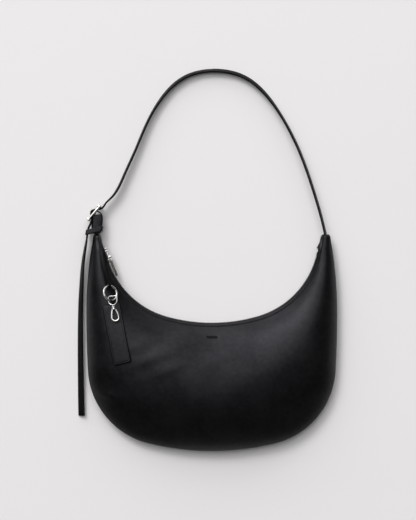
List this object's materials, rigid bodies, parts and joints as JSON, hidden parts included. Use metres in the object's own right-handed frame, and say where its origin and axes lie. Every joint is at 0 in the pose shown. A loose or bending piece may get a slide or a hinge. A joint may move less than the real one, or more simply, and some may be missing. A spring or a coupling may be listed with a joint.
{
  "type": "half moon shoulder bag",
  "caption": "Crescent leather shoulder bag with a zipped curved mouth, a buckled strap with a hanging tail, and a tag and snap hook on a ring.",
  "frame": {"origin": "on the flat of the back panel that lies on the floor, on the bag's middle line, level with the centres of the two lower corners", "axes": "+X to the bag's right as the front is seen, +Y from the bag's bottom towards the top of the strap, +Z out of the front panel"},
  "size_m": [0.3634, 0.5325, 0.0551],
  "materials": {
    "black_leather": "smooth satin leather",
    "polished_metal": "polished nickel plate",
    "zip_tape": "woven tape",
    "lining_cloth": "twill lining"
  },
  "bodies": {
    "bag": {"front_panel": "black_leather", "back_panel": "black_leather", "front_lining": "lining_cloth", "back_lining": "lining_cloth", "slip_pocket": "lining_cloth", "horn_tip_left": "black_leather", "horn_tip_right": "black_leather", "zip_tape_front": "zip_tape", "zip_tape_back": "zip_tape", "zip_teeth_front": "polished_metal", "zip_teeth_back": "polished_metal", "zip_stops": "polished_metal", "zip_end_tab_left": "black_leather", "zip_end_tab_right": "black_leather"},
    "strap": {"strap_band": "black_leather", "buckle_tab": "black_leather", "buckle_frame": "polished_metal"},
    "keeper": {"strap_keeper": "black_leather"},
    "prong": {"buckle_prong": "polished_metal"},
    "tail": {"strap_tail": "black_leather"},
    "slider": {"zip_slider": "polished_metal"},
    "pull": {"zip_pull": "polished_metal"},
    "lace": {"fob_lace": "black_leather"},
    "ring": {"fob_ring": "polished_metal"},
    "tag": {"tag_strip": "black_leather", "tag_loop": "black_leather"},
    "eye": {"hook_eye": "polished_metal"},
    "hook": {"snap_hook": "polished_metal", "gate_pin": "polished_metal"},
    "gate": {"hook_gate": "polished_metal"}
  },
  "joints": [
    {"name": "strap_fold", "type": "hinge", "parent": "bag", "child": "strap", "pos_m": [0, 0.1789, 0.014], "axis": [1, 0, 0], "range_deg": [0, 70]},
    {"name": "tail_lie", "type": "hinge", "parent": "strap", "child": "tail", "pos_m": [-0.1746, 0.18246, 0.01387], "axis": [1, 0, 0], "range_deg": [-70, 0]},
    {"name": "keeper_slide", "type": "slide", "parent": "strap", "child": "keeper", "axis": [0, 0.9993, -0.0373], "range_m": [0, 0.004]},
    {"name": "prong_swing", "type": "hinge", "parent": "strap", "child": "prong", "pos_m": [-0.1647, 0.21527, 0.01264], "axis": [0, 0.0373, 0.9993], "range_deg": [0, 80]},
    {"name": "zip_travel", "type": "hinge", "parent": "bag", "child": "slider", "pos_m": [-0.03163, 0.1845, 0.014], "axis": [0, 0, 1], "range_deg": [0, 53], "deforming": ["zip_tape_front", "zip_tape_back", "zip_teeth_front", "zip_teeth_back"]},
    {"name": "pull_swing", "type": "hinge", "parent": "slider", "child": "pull", "pos_m": [-0.14202, 0.15409, 0.014], "axis": [0, 0, 1], "range_deg": [0, 150]},
    {"name": "lace_lift", "type": "hinge", "parent": "bag", "child": "lace", "pos_m": [-0.15647, 0.16749, 0.02686], "axis": [-0.9829, -0.184, 0], "range_deg": [0, 60]},
    {"name": "ring_swing", "type": "hinge", "parent": "lace", "child": "ring", "pos_m": [-0.14656, 0.11456, 0.04074], "axis": [-0.9829, -0.184, 0], "range_deg": [0, 50]},
    {"name": "tag_swing", "type": "hinge", "parent": "ring", "child": "tag", "pos_m": [-0.14308, 0.09595, 0.04391], "axis": [-0.0304, 0.1622, 0.9863], "range_deg": [-6, 6]},
    {"name": "hook_lift", "type": "hinge", "parent": "ring", "child": "eye", "pos_m": [-0.1435, 0.09824, 0.04352], "axis": [-0.9829, -0.184, 0], "range_deg": [0, 32]},
    {"name": "hook_swivel", "type": "hinge", "parent": "eye", "child": "hook", "pos_m": [-0.14096, 0.08792, 0.04529], "axis": [-0.1814, 0.9695, -0.165], "range_deg": [-12, 12]},
    {"name": "gate_open", "type": "hinge", "parent": "hook", "child": "gate", "pos_m": [-0.13354, 0.07233, 0.04809], "axis": [-0.0304, 0.1622, 0.9863], "range_deg": [0, 30], "stiffness_Nm_per_rad": 0.002, "springref_deg": -11.46}
  ],
  "couplings": [
    {"joint": "tail_lie", "follows": "strap_fold", "ratio": -1}
  ]
}
